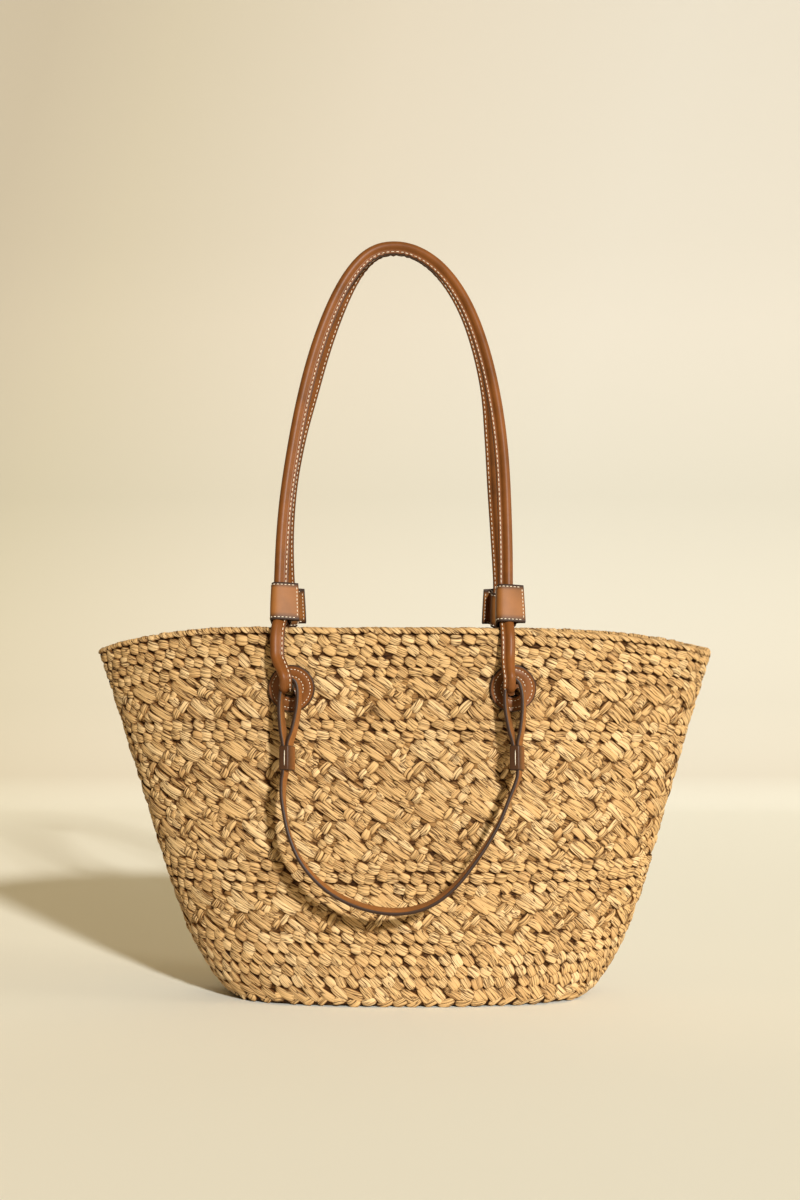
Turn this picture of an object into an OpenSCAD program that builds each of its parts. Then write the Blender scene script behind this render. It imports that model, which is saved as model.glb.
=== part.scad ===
// Woven beach bag with two long shoulder handles and two short carry straps.
// Millimetres. X runs along the bag, Y from its front face (-Y) to its rear face (+Y), Z up.
// The origin is the middle of the base, on the ground.

/* [Basket] */
// Height of the rim at the middle of the front
rim_z = 307; // [260:1:340]
// How much lower the rim is at its two ends
rim_drop = 18; // [0:1:30]
// Length of the opening, end to end
rim_length = 518; // [460:1:560]
// Depth of the opening, front to rear
rim_depth = 176; // [150:1:200]
// Length of the basket just above the rounded bottom edge
foot_length = 372; // [330:1:400]
// Depth of the basket just above the rounded bottom edge
foot_depth = 144; // [120:1:160]
// Height of the rounded bottom edge
foot_z = 42; // [30:1:60]
// How far the bottom edge rounds in at the ends
foot_round_x = 28; // [15:1:32]
// Height over which the rounding at the ends dies away
foot_curve = 32; // [20:1:50]
// How far the bottom edge rounds in at the front and rear
foot_round_y = 5; // [3:1:10]
// Thickness of the weave
wall_t = 7; // [5:0.5:9]
// Thickness of the base mat
base_t = 7; // [5:0.5:9]
// Height of the braid that finishes the rim
braid_h = 9; // [7:0.5:12]
// Thickness of the braid that finishes the rim
braid_t = 11; // [9:0.5:13]

/* [Patches] */
// Distance of each patch from the middle of the bag
patch_x = 89; // [75:1:105]
// Height of each patch's middle
patch_z = 258; // [245:1:270]
// Diameter of each leather patch
patch_d = 38; // [32:1:44]
// Thickness of the outer patches
patch_t = 2.5; // [1.5:0.1:3]
// Thickness of the backing discs inside the bag
backing_t = 2; // [1:0.1:3]
// Diameter of the hole that the strap passes through
hole_d = 14; // [11:0.5:16]

/* [Handles] */
// Half the distance between the two legs of the front handle
handle_half_w = 91; // [80:1:100]
// How much further out each leg of the rear handle is
rear_half_more = 2.4; // [0:0.1:4]
// How far the legs sit to the left of the bag's middle
handle_set = 7; // [0:1:10]
// Height of the front handle's arch above its sliders
arch_h = 291; // [250:1:310]
// How much higher the rear handle's arch is
rear_arch_more = 1; // [0:1:2]
// Angle at which each handle leans in against the other
handle_lean = 13.4; // [12:0.05:13.4]
// Diameter of the rolled edge of the handle strap
roll_d = 7.8; // [6:0.2:9]
// Width of the whole handle strap, roll and flange
strap_w = 11.6; // [10:0.2:13]
// Thickness of the sewn flange of the handle strap
flange_t = 3; // [2:0.1:4]
// Diameter of the filler cord rolled into the strap
core_d = 4.6; // [3:0.1:4.8]
// Diameter of the strap's folded ends below the sliders
anchor_d = 8.4; // [7:0.1:9]

/* [Sliders] */
// Height of a slider
slider_h = 31; // [25:0.5:36]
// Width of the sleeve part of a slider
sleeve_w = 16; // [15:0.5:19]
// Depth of the sleeve part of a slider
sleeve_depth = 22.5; // [20.5:0.5:23]
// Width of the slider's sewn flange
slider_flange_w = 7; // [5:0.5:10]
// Thickness of the slider's sewn flange
slider_flange_t = 3.6; // [2.5:0.1:5]
// How far outward of the sleeve's middle the flange is sewn
slider_flange_out = 5; // [0:0.5:7]
// Thickness of the slider's leather
slider_t = 1.6; // [1:0.1:2]
// Gap between the top of the rim and a slider
slider_gap = 7.5; // [6:0.5:12]

/* [Carry straps] */
// Thickness of a carry strap
carry_t = 3; // [2:0.1:3.1]
// Width of a carry strap
carry_w = 12; // [9:0.5:12]
// Angle at which a carry strap hangs out from the wall
carry_lean = 7.5; // [1:0.5:9]
// Distance of each keeper from the middle of the bag
keeper_x = 91.5; // [88:0.5:94]
// Height of a keeper's lower edge
keeper_z = 193; // [188:1:196]
// Height of a keeper
keeper_h = 19.5; // [15:0.5:21]
// Thickness of a keeper's leather
keeper_t = 1; // [0.6:0.1:1.4]

/* [Hidden] */
$fn = 48;

straw = "#c39a5f";
leather = "#a06a3d";
leather_dark = "#8a5a34";
cotton = "#e6d9bd";

around = 64;
squareness_base = 2.6;
squareness_rim = 1.9;
inner_foot_fade = 30;

// Points of the rolled strap's centre line and sections
arch_rings = 44;
section_sides = 12;
sleeve_corner = 5;
fit = 0.5;

// Half the length and half the depth of the basket at height z
function foot_fade_x(z) = exp(-z / foot_curve);
function foot_fade_y(z) = pow(max(0, 1 - z / foot_z), 2.5);
function half_length(z) = foot_length / 2
    + (rim_length - foot_length) / 2 * (z - foot_z) / (rim_z - foot_z) - foot_round_x * foot_fade_x(z);
function half_depth(z) = foot_depth / 2
    + (rim_depth - foot_depth) / 2 * (z - foot_z) / (rim_z - foot_z) - foot_round_y * foot_fade_y(z);
function squareness(z) = squareness_base + (squareness_rim - squareness_base) * z / rim_z;

// A section of the basket is a superellipse: signed power of the cosine and sine
function bend(c, power) = sign(c) * pow(abs(c), power);
function dip(u, z) = rim_drop * pow(abs(cos(u)), 5) * pow(z / rim_z, 3);
function shell_point(u, z, inset_x, inset_y) = [
    (half_length(z) - inset_x) * bend(cos(u), 2 / squareness(z)),
    (half_depth(z) - inset_y) * bend(sin(u), 2 / squareness(z)),
    z - dip(u, z)
];
function shell_ring(z, inset_x, inset_y) =
    [for (i = [0 : around - 1]) shell_point(360 * i / around, z, inset_x, inset_y)];

// Distance of the wall's outer face from the middle plane, at a place along the bag
function wall_y(x, z) =
    half_depth(z) * pow(1 - pow(abs(x) / half_length(z), squareness(z)), 1 / squareness(z));

// The base mat's outline, and the wall's inner face that starts from it
base_half_x = half_length(0) - 2;
base_half_y = half_depth(0) - 6;
function inner_fade(z) = pow(max(0, 1 - (z - base_t) / inner_foot_fade), 2);
function inner_inset_x(z) = wall_t
    + (half_length(base_t) - wall_t - base_half_x) * inner_fade(z);
function inner_inset_y(z) = wall_t
    + (half_depth(base_t) - wall_t - base_half_y) * inner_fade(z);
function base_ring(z) = [for (i = [0 : around - 1])
    let (u = 360 * i / around, power = 2 / squareness(base_t))
    [base_half_x * bend(cos(u), power), base_half_y * bend(sin(u), power), z]];

wall_top = rim_z - braid_h;
outer_levels = [0, 4, 9, 16, 26, foot_z, 58, 80, 125, 170, 215, 260, wall_top];
inner_levels = [wall_top, 260, 170, 80, foot_z, 26, 14];

// Where the strap passes the rim and the wall, on the front face
rim_mid_y = wall_y(patch_x, wall_top) - wall_t / 2;
pivot_z = rim_z - braid_h / 2;
patch_y = wall_y(patch_x, patch_z);
strap_turn_r = 8;
carry_start = 4.4;
carry_y = patch_y + carry_start + carry_w / 2;
anchor_y = patch_y + carry_start + carry_w + fit + anchor_d / 2;
carry_pivot_y = anchor_y - strap_turn_r;
carry_pivot_z = patch_z + strap_turn_r;

// Heights along a handle, measured up its own plane from its pivot
slider_low = braid_h / 2 + slider_gap;
slider_high = slider_low + slider_h;
strap_depth = 4.5;
anchor_end = slider_low + slider_h * 0.4;
handle_start = anchor_end + 1;
arch_base = slider_high;

// Vector helpers
function unit(v) = v / norm(v);
function across(ref, along) = unit(ref - (ref * along) * along);
function flat(lists) = [for (l = lists) for (p = l) p];

// A smooth curve through points: Catmull-Rom, with a number of steps in each span
function spline_at(a, b, c, d, t) = 0.5 * (2 * b + (c - a) * t
    + (2 * a - 5 * b + 4 * c - d) * t * t + (3 * b - a - 3 * c + d) * t * t * t);
function spline(p, steps) = concat(
    [for (i = [0 : len(p) - 2]) for (s = [0 : steps - 1])
        spline_at(p[max(0, i - 1)], p[i], p[i + 1], p[min(len(p) - 1, i + 2)], s / steps)],
    [p[len(p) - 1]]);

// Direction of a path at one of its points
function heading(path, i) = unit(path[min(len(path) - 1, i + 1)] - path[max(0, i - 1)]);
function swept_ring(path, i, section, ref) =
    let (along = heading(path, i), e1 = across(ref, along), e2 = cross(along, e1))
    [for (s = section) path[i] + s[0] * e1 + s[1] * e2];

// Faces that join rings of n points each, either open at both ends or closed round
function ring_faces(rings, n, closed) = [
    for (r = [0 : rings - (closed ? 1 : 2)]) for (i = [0 : n - 1])
        let (a = r * n, b = ((r + 1) % rings) * n, j = (i + 1) % n)
        [a + i, b + i, b + j, a + j]];

// A solid swept along a path. Its section's points run clockwise as seen looking along the path.
module sweep(path, section, ref) {
    n = len(section);
    rings = len(path);
    polyhedron(
        points = flat([for (i = [0 : rings - 1]) swept_ring(path, i, section, ref)]),
        faces = concat(
            ring_faces(rings, n, false),
            [[for (i = [0 : n - 1]) i]],
            [[for (i = [n - 1 : -1 : 0]) (rings - 1) * n + i]]));
}

// A sweep with a bore along it. Section and bore have the same number of points.
module hollow_sweep(path, section, bore, ref) {
    n = len(section);
    rings = len(path);
    inner = rings * n;
    last = (rings - 1) * n;
    polyhedron(
        points = concat(
            flat([for (i = [0 : rings - 1]) swept_ring(path, i, section, ref)]),
            flat([for (i = [0 : rings - 1]) swept_ring(path, i, bore, ref)])),
        faces = concat(
            ring_faces(rings, n, false),
            [for (f = ring_faces(rings, n, false))
                [inner + f[3], inner + f[2], inner + f[1], inner + f[0]]],
            [for (i = [0 : n - 1]) let (j = (i + 1) % n) [i, j, inner + j, inner + i]],
            [for (i = [0 : n - 1]) let (j = (i + 1) % n)
                [last + j, last + i, inner + last + i, inner + last + j]]));
}

// A ring-shaped solid whose profile is a closed loop of rings
module ring_solid(rings) {
    polyhedron(points = flat(rings), faces = ring_faces(len(rings), len(rings[0]), true));
}

function circle_section(d, n) = [for (i = [0 : n - 1]) d / 2 * [cos(-360 * i / n), sin(-360 * i / n)]];
function box_section(t, w) = [[t / 2, w / 2], [t / 2, -w / 2], [-t / 2, -w / 2], [-t / 2, w / 2]];

// The basket
module woven_wall() {
    color(straw)
    difference() {
        ring_solid(concat(
            [for (z = outer_levels) shell_ring(z, 0, 0)],
            [for (z = inner_levels) shell_ring(z, inner_inset_x(z), inner_inset_y(z))],
            [base_ring(base_t), base_ring(0)]));
        for (face = [1, -1], side = [-1, 1])
            at_patch(face, side)
            translate([0, 0, -2 * wall_t])
            cylinder(h = 4 * wall_t, d = hole_d);
    }
}

module woven_base() {
    color(straw)
    linear_extrude(base_t)
    polygon([for (p = base_ring(0)) [p[0], p[1]]]);
}

// The braid is an eight-sided section that sits on the wall's top edge
module rim_braid() {
    mid = wall_t / 2;
    half = braid_t / 2;
    corner = 2.5;
    low = wall_top + 0.3;
    color(straw)
    ring_solid([
        shell_ring(low, mid - half + corner, mid - half + corner),
        shell_ring(wall_top + corner, mid - half, mid - half),
        shell_ring(rim_z - corner, mid - half, mid - half),
        shell_ring(rim_z, mid - half + corner, mid - half + corner),
        shell_ring(rim_z, mid + half - corner, mid + half - corner),
        shell_ring(rim_z - corner, mid + half, mid + half),
        shell_ring(wall_top + corner, mid + half, mid + half),
        shell_ring(low, mid + half - corner, mid + half - corner)
    ]);
}

// The wall's outward direction at a patch, and a frame there with its Z along it
function patch_out() =
    let (step = 1,
        along_x = [step, -(wall_y(patch_x + step, patch_z) - wall_y(patch_x, patch_z)), 0],
        along_z = [0, -(wall_y(patch_x, patch_z + step) - wall_y(patch_x, patch_z)), step])
    unit(cross(along_x, along_z));

module at_patch(face, side) {
    out = patch_out();
    turn = atan2(out[0], -out[1]);
    tip = asin(out[2]);
    mirror([0, face == 1 ? 0 : 1, 0])
    mirror([side == 1 ? 0 : 1, 0, 0])
    translate([patch_x, -patch_y, patch_z])
    rotate([0, 0, turn])
    rotate([90 - tip, 0, 0])
    children();
}

module patch(face, side) {
    color(leather)
    at_patch(face, side)
    translate([0, 0, 0.1])
    difference() {
        cylinder(h = patch_t, d = patch_d);
        translate([0, 0, -1])
        cylinder(h = patch_t + 2, d = hole_d);
    }
}

module backing(face, side) {
    color(leather_dark)
    at_patch(face, side)
    translate([0, 0, -wall_t - fit - 0.4 - backing_t])
    difference() {
        cylinder(h = backing_t, d = patch_d);
        translate([0, 0, -1])
        cylinder(h = backing_t + 2, d = hole_d);
    }
}

// Places a shape from a handle's own frame: its -Y is outward, its Z up the leaning plane
module in_handle(face) {
    mirror([0, face == 1 ? 0 : 1, 0])
    translate([0, -rim_mid_y, pivot_z])
    rotate([-handle_lean, 0, 0])
    children();
}

// The same frame as a function, for the ends of the anchors
function from_handle(x, depth, up) = [
    x,
    -rim_mid_y + up * sin(handle_lean) - depth * cos(handle_lean),
    pivot_z + up * cos(handle_lean) + depth * sin(handle_lean)
];

function leg_x(face, side) =
    side * (handle_half_w + (face == 1 ? 0 : rear_half_more)) - handle_set;

// The strap's folded end: down outside the wall, in through the hole and up inside it
function anchor_path(face, side) =
    let (hole_x = side * patch_x,
        top_x = leg_x(face, side),
        rim_out = wall_y(patch_x, wall_top) + (braid_t - wall_t) / 2 + fit + anchor_d / 2,
        rim_in = wall_y(patch_x, wall_top) - (braid_t + wall_t) / 2 - fit - anchor_d / 2,
        inside = patch_y - wall_t - backing_t - 2,
        turn_z = carry_pivot_z)
    spline([
        from_handle(top_x, strap_depth, anchor_end),
        from_handle(top_x, strap_depth, slider_low),
        [top_x + (hole_x - top_x) * 0.15, -rim_out + 0.1, rim_z + 1.8],
        [top_x + (hole_x - top_x) * 0.35, -rim_out - 1.2, rim_z - 9],
        [top_x + (hole_x - top_x) * 0.7, -rim_out - 6.5, rim_z - 25],
        [hole_x, -anchor_y, turn_z + 2],
        [hole_x, -anchor_y + 2.3, turn_z - 5.7],
        [hole_x, -anchor_y + 8, patch_z],
        [hole_x, -patch_y - 2, patch_z - 0.5],
        [hole_x, -inside, patch_z],
        [hole_x, -inside + 8.5, patch_z + 5],
        [hole_x, -inside + 9.5, patch_z + 15],
        [top_x + (hole_x - top_x) * 0.6, -inside + 5.5, rim_z - 20],
        [top_x + (hole_x - top_x) * 0.3, -rim_in + 0.6, rim_z - 5],
        from_handle(top_x, -strap_depth, slider_low + 1),
        from_handle(top_x, -strap_depth, anchor_end)
    ], 3);

module anchor(face, side) {
    color(leather)
    mirror([0, face == 1 ? 0 : 1, 0])
    sweep(anchor_path(face, side), circle_section(anchor_d, 10), [1, 0, 0]);
}

// Neither arch is quite symmetric. Its middle, as [share of the way up, distance along X]:
front_sway = [[0, 0], [0.2, 1.1], [0.4, 3.4], [0.6, 4.8], [0.8, 5.2], [0.93, 3.4], [1, 0.2]];
rear_sway = [[0, 0], [0.15, -1.6], [0.3, -1.4], [0.45, 1.4], [0.6, 5.4], [0.8, 6.8], [0.93, 4.5], [1, 1]];

// The arch of a handle in its own frame: a superellipse on two straight legs
function arch_path(face) =
    let (power = 2 / (face == 1 ? 2.15 : 2.2),
        rise = 2 / (face == 1 ? 2.15 : 1.85),
        height = arch_h + (face == 1 ? 0 : rear_arch_more),
        half_w = (leg_x(face, 1) - leg_x(face, -1)) / 2,
        sway = spline(face == 1 ? front_sway : rear_sway, 4))
    concat(
        [[leg_x(face, -1), 0, handle_start]],
        [for (i = [0 : arch_rings])
            let (turn = 180 - 180 * i / arch_rings,
                up = pow(sin(turn), rise))
            [lookup(up, sway) - handle_set + half_w * bend(cos(turn), power), 0, arch_base + height * up]],
        [[leg_x(face, 1), 0, handle_start]]);

// The rolled strap's section: a round roll on the outside of the arch, a flange on the inside
roll_shift = (strap_w - roll_d) / 2;
function strap_section() =
    let (n = section_sides - 4, low = -strap_w / 2, gap = 38)
    concat(
        [for (i = [0 : n - 1])
            let (turn = 180 - gap - (360 - 2 * gap) * i / (n - 1))
            [roll_d / 2 * sin(turn), roll_shift + roll_d / 2 * cos(turn)]],
        [[-flange_t / 2, low + 2.6], [-flange_t / 2, low], [flange_t / 2, low], [flange_t / 2, low + 2.6]]);
function core_bore(d, n) =
    [for (i = [0 : n - 1])
        let (turn = 180 - 38 - 360 * (i + 0.5) / n)
        [d / 2 * sin(turn), roll_shift + d / 2 * cos(turn)]];

module handle(face) {
    color(leather)
    in_handle(face)
    translate([0, -strap_depth, 0])
    hollow_sweep(arch_path(face), strap_section(), core_bore(core_d + 0.4, section_sides), [0, 1, 0]);
}

module handle_core(face) {
    color(cotton)
    in_handle(face)
    translate([0, -strap_depth, 0])
    sweep(arch_path(face), core_bore(core_d, 8), [0, 1, 0]);
}

// A slider is a leather sleeve round both strands, with a sewn flange on one side.
// Three of the flanges point the same way; the rear right one points back towards the middle.
function flange_side(face, side) = (face == -1 && side == 1) ? -1 : 1;
module rounded_slot(w, depth, r) {
    square([w - 2 * r, depth], center = true);
    square([w, depth - 2 * r], center = true);
    for (sx = [-1, 1], sy = [-1, 1])
        translate([sx * (w / 2 - r), sy * (depth / 2 - r)])
        circle(r);
}

module slider(face, side) {
    color(leather)
    in_handle(face)
    translate([leg_x(face, side), 0, slider_low])
    linear_extrude(slider_h)
    difference() {
        union() {
            rounded_slot(sleeve_w, sleeve_depth, sleeve_corner);
            translate([
                flange_side(face, side) * ((sleeve_w + slider_flange_w) / 2 - 1),
                -slider_flange_out
            ])
            square([slider_flange_w + 2, slider_flange_t], center = true);
        }
        rounded_slot(sleeve_w - 2 * slider_t, sleeve_depth - 2 * slider_t, sleeve_corner - slider_t);
    }
}

// A carry strap: a flat strip that hangs in a U. Each end loops over an anchor and back
// through its keeper. Points are [x, z], from the left keeper to the right one.
carry_drop = [
    [-94.5, 184], [-94.5, 169], [-90, 144], [-79, 120], [-59, 99.5], [-33, 86.5], [-5, 82],
    [20, 87], [41, 101.5], [61, 126], [76, 150], [85.5, 171], [91.5, 185]
];
// Half the loop's width at heights above the keeper, up one side to its top
loop_rise = [[1.6, 0], [1.6, keeper_h], [4.6, 33], [6.8, 49], [6.8, 62], [4.6, 70.5]];
loop_top = 73.5;

// The loop's middle line leans from the keeper over to the hole that it hangs at
function loop_x(up) = keeper_x + (patch_x - keeper_x) * max(0, up - keeper_h) / (loop_top - keeper_h);
function loop_side(side, half) =
    [for (p = loop_rise) [side * loop_x(p[1]) + half * p[0], keeper_z + p[1]]];
function reversed(list) = [for (i = [len(list) - 1 : -1 : 0]) list[i]];
function carry_route() = concat(
    loop_side(-1, 1),
    [[-patch_x, keeper_z + loop_top]],
    reversed(loop_side(-1, -1)),
    carry_drop,
    loop_side(1, 1),
    [[patch_x, keeper_z + loop_top]],
    reversed(loop_side(1, -1)));

// Places a shape from a carry strap's frame: turned about the line that the loops hang from
module in_carry(face) {
    mirror([0, face == 1 ? 0 : 1, 0])
    translate([0, -carry_pivot_y, carry_pivot_z])
    rotate([-carry_lean, 0, 0])
    translate([0, carry_pivot_y - carry_y, -carry_pivot_z])
    children();
}

module carry_strap(face) {
    color(leather)
    in_carry(face)
    sweep(
        [for (p = spline(carry_route(), 2)) [p[0], 0, p[1]]],
        box_section(carry_w, carry_t), [0, 1, 0]);
}

module keeper(face, side) {
    inner_w = 3.2 + carry_t + 0.3;
    inner_depth = carry_w + 0.4;
    color(leather_dark)
    in_carry(face)
    translate([side * keeper_x, 0, keeper_z])
    linear_extrude(keeper_h)
    difference() {
        square([inner_w + 2 * keeper_t, inner_depth + 2 * keeper_t], center = true);
        square([inner_w, inner_depth], center = true);
    }
}

woven_wall();
woven_base();
rim_braid();
patch(1, -1);  // front_left_patch
patch(1, 1);  // front_right_patch
patch(-1, -1);  // rear_left_patch
patch(-1, 1);  // rear_right_patch
backing(1, -1);  // front_left_backing
backing(1, 1);  // front_right_backing
backing(-1, -1);  // rear_left_backing
backing(-1, 1);  // rear_right_backing
anchor(1, -1);  // front_left_anchor
anchor(1, 1);  // front_right_anchor
anchor(-1, -1);  // rear_left_anchor
anchor(-1, 1);  // rear_right_anchor
handle(1);  // front_handle
handle(-1);  // rear_handle
handle_core(1);  // front_handle_core
handle_core(-1);  // rear_handle_core
slider(1, -1);  // front_left_slider
slider(1, 1);  // front_right_slider
slider(-1, -1);  // rear_left_slider
slider(-1, 1);  // rear_right_slider
carry_strap(1);  // front_carry_strap
carry_strap(-1);  // rear_carry_strap
keeper(1, -1);  // front_left_keeper
keeper(1, 1);  // front_right_keeper
keeper(-1, -1);  // rear_left_keeper
keeper(-1, 1);  // rear_right_keeper
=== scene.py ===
"""Looks of the woven beach bag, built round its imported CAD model.

Shapes are worked out in millimetres and turned into metres when a piece is made.
X runs along the bag, Y from its front (-Y) to its rear (+Y), Z up.
"""

import math

import bmesh
import bpy
import numpy as np
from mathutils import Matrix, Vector


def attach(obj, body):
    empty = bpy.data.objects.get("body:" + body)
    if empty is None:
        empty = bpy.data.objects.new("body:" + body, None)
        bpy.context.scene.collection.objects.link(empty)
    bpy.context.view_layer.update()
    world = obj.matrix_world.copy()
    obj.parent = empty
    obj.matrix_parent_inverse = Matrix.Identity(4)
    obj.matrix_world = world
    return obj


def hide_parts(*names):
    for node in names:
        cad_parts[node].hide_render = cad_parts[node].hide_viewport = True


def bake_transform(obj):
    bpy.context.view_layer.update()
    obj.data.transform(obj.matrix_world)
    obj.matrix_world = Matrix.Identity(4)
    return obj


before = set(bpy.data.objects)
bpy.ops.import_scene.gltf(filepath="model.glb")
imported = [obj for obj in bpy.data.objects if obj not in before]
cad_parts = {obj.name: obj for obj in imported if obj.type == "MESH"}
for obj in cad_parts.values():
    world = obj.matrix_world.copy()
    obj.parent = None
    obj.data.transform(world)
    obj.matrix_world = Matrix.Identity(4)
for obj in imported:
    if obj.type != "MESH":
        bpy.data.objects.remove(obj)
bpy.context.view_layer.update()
rng = np.random.default_rng(11)

MM = 0.001

# Basket
RIM_Z = 307.0
RIM_DROP = 18.0
RIM_LENGTH = 518.0
RIM_DEPTH = 176.0
FOOT_LENGTH = 372.0
FOOT_DEPTH = 144.0
FOOT_Z = 42.0
FOOT_ROUND_X = 28.0
FOOT_CURVE = 32.0
FOOT_ROUND_Y = 5.0
WALL_T = 7.0
BASE_T = 7.0
BRAID_H = 9.0
BRAID_T = 11.0
WALL_TOP = RIM_Z - BRAID_H

# Patches
PATCH_X = 89.0
PATCH_Z = 258.0
PATCH_R = 19.0
PATCH_T = 2.5
BACKING_T = 2.0
HOLE_R = 7.0

# Room between the leather parts outside the wall
PATCH_ROOM = 4.4
STRAP_ROOM = 0.5
STRAP_END_R = 4.2

# Handles
HANDLE_HALF_W = {1: 91.0, -1: 93.4}
HANDLE_SET = 7.0
ARCH_H = {1: 291.0, -1: 292.0}
ARCH_POWERS = {1: (2 / 2.15, 2 / 2.15), -1: (2 / 2.2, 2 / 1.85)}
HANDLE_LEAN = math.radians(13.4)
STRAP_DEPTH = 4.5
SLIDER_LOW = 12.0
SLIDER_H = 31.0
ANCHOR_END = SLIDER_LOW + SLIDER_H * 0.4
# How far each slider has slipped along its strap, for the front and rear, left and right
SLIDER_SLIP = {(1, -1): -3.1, (1, 1): -4.8, (-1, -1): -4.5, (-1, 1): -4.9}

# Carry straps
CARRY_W = 12.0
CARRY_LEAN = math.radians(7.5)
KEEPER_X = 91.5
KEEPER_Z = 193.0
KEEPER_H = 19.5
KEEPER_TWIST = 0.38

FACES = {"front": 1, "rear": -1}
SIDES = {"left": -1, "right": 1}


# ---- basket shape


def bend(c, power):
    """Signed power, which makes a superellipse from a sine and a cosine."""
    return np.sign(c) * np.abs(c) ** power


def widening(foot, rim, z):
    """Half of a size that grows evenly from the foot to the rim."""
    return foot / 2 + (rim - foot) / 2 * (z - FOOT_Z) / (RIM_Z - FOOT_Z)


def half_length(z):
    """Half the basket's length at a level, with its ends rounded in at the foot."""
    return widening(FOOT_LENGTH, RIM_LENGTH, z) - FOOT_ROUND_X * np.exp(-z / FOOT_CURVE)


def half_depth(z):
    """Half the basket's depth at a level, with its faces rounded in at the foot."""
    return widening(FOOT_DEPTH, RIM_DEPTH, z) - FOOT_ROUND_Y * np.maximum(0, 1 - z / FOOT_Z) ** 2.5


def squareness(z):
    """Power of the superellipse at a level: squarer at the foot than at the rim."""
    return 2.6 - 0.7 * z / RIM_Z


def wall_y(x, z):
    """Distance of the wall's outer face from the middle plane."""
    n = squareness(z)
    return half_depth(z) * (1 - (abs(x) / half_length(z)) ** n) ** (1 / n)


BASE_HALF_X = half_length(0.0) - 2
BASE_HALF_Y = half_depth(0.0) - 6
RIM_MID_Y = wall_y(PATCH_X, WALL_TOP) - WALL_T / 2
PIVOT_Z = RIM_Z - BRAID_H / 2
PATCH_Y = wall_y(PATCH_X, PATCH_Z)
CARRY_Y = PATCH_Y + PATCH_ROOM + CARRY_W / 2
ANCHOR_Y = PATCH_Y + PATCH_ROOM + CARRY_W + STRAP_ROOM + STRAP_END_R
CARRY_PIVOT_Y = ANCHOR_Y - 8
CARRY_PIVOT_Z = PATCH_Z + 8


def settle(points):
    """The soft weave isn't quite true: it leans, sags at the rim's right, swells and spreads at its foot."""
    x, y, z = points[..., 0], points[..., 1], points[..., 2]
    high = np.clip(z / RIM_Z, 0, 1)
    lean = 2.0 + 4.0 * (1 - high)
    right = 1 / (1 + np.exp(-(x - 120) / 25.0))
    left = np.exp(-(((x + 150) / 50) ** 2))
    drop = 4.0 * right * high**4 - 1.5 * left * high**4
    spread = 7.0 * np.clip(1 - z / 70, 0, 1) ** 1.2
    swell = spread + 0.8 * np.sin(x / 61 + 1.3) * np.sin(z / 47 + 0.6)
    return np.stack([x + lean, y + swell * np.clip(y / 40, -1, 1), z - drop * (y < 0)], axis=-1)


def shell_ring(turn, z, inset_x, inset_y):
    """One ring of the basket, at a level z, moved inward by the insets."""
    power = 2 / squareness(z)
    dip = RIM_DROP * np.abs(np.cos(turn)) ** 5 * (z / RIM_Z) ** 3
    ring = [
        (half_length(z) - inset_x) * bend(np.cos(turn), power),
        (half_depth(z) - inset_y) * bend(np.sin(turn), power),
        z - dip,
    ]
    return settle(np.stack(ring, axis=-1))


def inner_inset(z):
    """How far the wall's inner face stands in from its outer one, in X and in Y."""
    fade = max(0, 1 - (z - BASE_T) / 30) ** 2
    inset_x = WALL_T + (half_length(BASE_T) - WALL_T - BASE_HALF_X) * fade
    inset_y = WALL_T + (half_depth(BASE_T) - WALL_T - BASE_HALF_Y) * fade
    return inset_x, inset_y


def base_ring(turn, inset, z):
    power = 2 / squareness(BASE_T)
    ring = [
        (BASE_HALF_X - inset) * bend(np.cos(turn), power),
        (BASE_HALF_Y - inset) * bend(np.sin(turn), power),
        np.full_like(turn, z),
    ]
    return settle(np.stack(ring, axis=-1))


def run_of(path):
    """Distance along a path at each of its points."""
    return np.append(0, np.cumsum(np.linalg.norm(np.diff(path, axis=0), axis=1)))


def sample(path, run, wanted):
    """Values of a path at the wanted distances along it."""
    return np.stack([np.interp(wanted, run, column) for column in path.T], axis=-1)


class Surface:
    """A surface made of closed rings, looked up by share of the way round (0 to 1) and level.

    place(turn, level) gives the ring's points for an array of turns.
    """

    def __init__(self, place, first, last, rows, outward=1, samples=1024):
        turn = np.linspace(0, 2 * np.pi, samples * 6 + 1)
        self.first = first
        self.outward = outward
        self.step = (last - first) / (rows - 1)
        self.samples = samples
        rings = []
        rounds = []
        for level in np.linspace(first, last, rows):
            ring = place(turn, level)
            run = run_of(ring)
            wanted = np.linspace(0, run[-1], samples + 1)
            rings.append(sample(ring, run, wanted))
            rounds.append(run[-1])
        self.points = np.array(rings)
        self.rounds = np.array(rounds)
        ring = self.points[:, :-1]
        along = np.roll(ring, -1, axis=1) - np.roll(ring, 1, axis=1)
        up = np.gradient(ring, axis=0)
        normal = np.cross(along, up)
        normal /= np.linalg.norm(normal, axis=-1, keepdims=True)
        self.normals = outward * np.concatenate([normal, normal[:, :1]], axis=1)

    def distance_round(self, level):
        index = (np.asarray(level, float) - self.first) / self.step
        return np.interp(index, np.arange(len(self.rounds)), self.rounds)

    def at(self, share, level):
        """Points and outward normals at arrays of share and level."""
        across = np.mod(share, 1) * self.samples
        i = np.minimum(across.astype(int), self.samples - 1)
        u = (across - i)[..., None]
        rows = np.clip((level - self.first) / self.step, 0, len(self.rounds) - 1.001)
        j = rows.astype(int)
        v = (rows - j)[..., None]
        found = []
        for table in (self.points, self.normals):
            low = table[j, i] * (1 - u) + table[j, i + 1] * u
            high = table[j + 1, i] * (1 - u) + table[j + 1, i + 1] * u
            found.append(low * (1 - v) + high * v)
        return found


def outer_place(turn, z):
    return shell_ring(turn, z, 0, 0)


def inner_place(turn, z):
    return shell_ring(turn, z, *inner_inset(z))


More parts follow.
